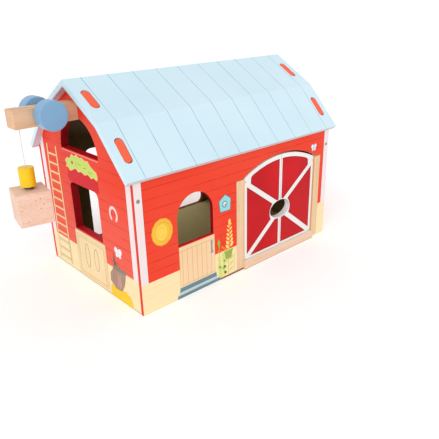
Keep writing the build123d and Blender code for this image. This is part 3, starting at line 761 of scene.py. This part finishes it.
# the shoots stand in two rows: middle, drop, half width and turn
plants = {"middle": 123.6, "lean": 0.3, "foot": 6, "pairs": 7, "pitch": 4.6, "out": 3.4,
          "long": 3.8, "thin": 0.2, "stem": ((121.5, 3), (118, 56)),
          "bud": [(117.6, 59), (120.6, 53.5), (118.6, 44.5), (115.8, 53.6)],
          "petals": [(117.5, 42), (122.5, 40.5), (126, 44), (129, 41.5), (123.5, 46)], "petal": (1.5, 1.5),
          "shoots": (10, 18, 26), "rows": [(139.5, 0, 3.9, 40), (129.5, 2, 3.7, -40)], "shootHalf": 1.9}
made = Print("frontPlants", "barn", faces["front"])
made.bar(*plants["stem"], 0.7, "leaf", 1)
for i in range(plants["pairs"]):
    z = plants["foot"] + i * plants["pitch"]
    for side in (-1, 1):
        made.disc((plants["middle"] - i * plants["lean"] + side * plants["out"], z + side),
                  (plants["long"] - plants["thin"] * i, 2.0), "leaf" if (2 * i + side) % 5 == 0 else "bush", 2,
                  turn=side * 34, steps=14)
made.shape(plants["bud"], "leaf", 3)
for spot in plants["petals"]:
    made.disc(spot, plants["petal"], "petal", 3, steps=12)
for z in plants["shoots"]:
    for middle, drop, wide, turn in plants["rows"]:
        made.disc((middle, z - drop), (wide, plants["shootHalf"]), "bush", 2, turn=turn, steps=14)
made.finish()

# a dark brown line along the foot of the long wall, up to the left door post
postFoot = {"left": 118, "right": 161.8, "up": 1.3, "width": 2.4}
made = Print("frontFootLine", "barn", faces["front"])
made.bar((postFoot["left"], postFoot["up"]), (postFoot["right"], postFoot["up"]), postFoot["width"], "footBrown", 1)
made.finish()

# door posts: left and right edge, and the edge that carries a line
posts = {"foot": 2, "top": 126.5, "rimFoot": 45, "line": 0.5,
         "sides": [(149.5, 162.0, 149.5), (306.4, 318.6, 318.6)]}
made = Print("frontPosts", "barn", faces["front"])
for left, right, rim in posts["sides"]:
    made.sheet(left, posts["foot"], right, posts["top"], "postWood")
    made.bar((rim, posts["rimFoot"]), (rim, posts["top"]), posts["line"], "postLine", 2)
    made.bar((left, posts["top"]), (right, posts["top"]), posts["line"], "postLine", 2)
made.finish()
butterfly("frontButterfly", faces["front"], (302.6, 140.4), 9.5, "wingBlue")
print("long wall printed")

# door leaves: crimson panels between white bars, and the heads of the hinge nails; points are measured
# from the middle of the doorway outward
leaf = {"middle": 233.7, "bar": 3.0, "side": 64.9, "foot": 15.6, "rim": 0.8,
        "arch": 144.0, "archUp": -5.2, "archPoints": (9, 16, 23, 30, 37, 43, 49, 55),
        "upper": [(57.5, 125.2), (57.8, 118.4), (57.0, 116.9), (6.0, 80.4)],
        "hole": [(15.8, 78.7), (19.2, 73.6), (21.0, 69.4), (21.1, 65.4), (20.4, 61.0), (18.4, 56.8)],
        "nailMiddle": 234.2, "nailOut": 67.8, "nails": (13.2, 122.0)}
for side, body in ((1, "left_door"), (-1, "right_door")):
    made = Print(body + "Panels", body, faces["leaf"], "door_paint")
    arch = [(u, leaf["archUp"] + sqrt(leaf["arch"] ** 2 - u ** 2)) for u in (leaf["bar"], *leaf["archPoints"])]
    for points in ([(leaf["bar"], 81.6), *arch, *leaf["upper"]],
                   [(leaf["side"], 114.5), *leaf["hole"], (leaf["side"], 19.8)],
                   [(58.4, leaf["foot"]), (9.8, 54.3), (leaf["bar"], 53.3), (leaf["bar"], leaf["foot"])]):
        made.shape([(leaf["middle"] - side * u, z) for u, z in points], "crimson", 1, "panelLine", leaf["rim"])
    for z in leaf["nails"]:
        made.disc((leaf["nailMiddle"] - side * leaf["nailOut"], z), (0.9, 0.9), "zinc", 2, steps=16)
    made.finish()
print("door panels printed")

# crate: dark flecks in the wood, at shares of the side's width and height, turned about from side to side
crate = {"half": 18.3, "low": 107.5, "high": 144.9, "turn": -10.7, "margin": 1.2, "foot": 0.8, "head": 0.7,
         "flecks": [(0.08, 0.67), (0.08, 0.52), (0.23, 0.15), (0.06, 0.13), (0.54, 0.78), (0.69, 0.82),
                    (0.68, 0.71), (0.78, 0.64), (0.67, 0.5), (0.93, 0.12)]}
crateRise = crate["high"] - crate["low"] - crate["foot"] - crate["head"]
for i in range(4):
    angle = radians(crate["turn"] + 90 * i)
    out = (sin(angle), -cos(angle))
    along = (cos(angle), sin(angle))
    middle = (string["drop"] + out[0] * crate["half"], out[1] * crate["half"], crate["low"])
    made = Print("crateFlecks" + str(i + 1), "crate_body", faceFrame(middle, along, out), "bare_wood")
    for n, (u, v) in enumerate(crate["flecks"]):
        if i % 2:
            u, v = v, 1 - u
        if i > 1:
            u = 1 - u
        made.disc(((2 * u - 1) * (crate["half"] - crate["margin"]), v * crateRise + crate["foot"]),
                  (0.62 + 0.12 * (n % 3), 0.4 + 0.1 * (n % 2)), "nail" if n % 3 else "crateLine", 0,
                  turn=25 * n, steps=10)
    made.finish()
print("crate marked")

# camera and light
view = {"lens": 41.92, "sensor": 36, "yaw": 42.36, "pitch": 23.06, "roll": -1.12,
        "place": (-0.4379, -0.5367, 0.3314)}
lens = bpy.data.cameras.new("camera")
lens.lens = view["lens"]
lens.sensor_width = view["sensor"]
camera = addObject("camera", lens)
aim = Matrix.Rotation(radians(-view["yaw"]), 4, "Z") @ Matrix.Rotation(radians(90 - view["pitch"]), 4, "X")
camera.matrix_world = Matrix.Translation(view["place"]) @ aim @ Matrix.Rotation(radians(view["roll"]), 4, "Z")
bpy.context.scene.camera = camera

studio = {"sky": 0.73, "sun": 1.0, "soft": 50.0, "toSun": (-1.15, -0.95, 1.0),
          "ground": 4.0, "paper": "fcfcfc", "glow": 0.19}
world = bpy.data.worlds.new("studio")
bpy.context.scene.world = world
world.use_nodes = True
tree = world.node_tree
# white where it is seen, in a mirror or through glass too, and a softer sky for the light
seen = tree.nodes.new("ShaderNodeLightPath")
clear = tree.nodes["Background"].inputs["Strength"]
for kind in ("Is Camera Ray", "Is Glossy Ray", "Is Transmission Ray"):
    level = tree.nodes.new("ShaderNodeMapRange")
    level.inputs["To Min"].default_value = studio["sky"]
    level.inputs["To Max"].default_value = 1.0
    tree.links.new(seen.outputs[kind], level.inputs["Value"])
    tree.links.new(level.outputs["Result"], clear)
    clear = level.inputs["To Min"]
tree.nodes["Background"].inputs["Color"].default_value = (1, 1, 1, 1)

data = bpy.data.lights.new("sun", "SUN")
data.energy = studio["sun"]
data.angle = radians(studio["soft"])
sun = addObject("sun", data)
sun.matrix_world = Vector(studio["toSun"]).to_track_quat("Z", "Y").to_matrix().to_4x4()

bm = bmesh.new()
bmesh.ops.create_grid(bm, x_segments=1, y_segments=1, size=studio["ground"])
mesh = bpy.data.meshes.new("ground")
bm.to_mesh(mesh)
bm.free()
ground = addObject("ground", mesh)
paper = Finish("groundPaper", studio["paper"], 0.9)
mesh.materials.append(paper.mat)
paper.shader.inputs["Emission Color"].default_value = (1, 1, 1, 1)
paper.shader.inputs["Emission Strength"].default_value = studio["glow"]
bpy.context.scene.view_settings.view_transform = "Standard"
print("camera and light set")
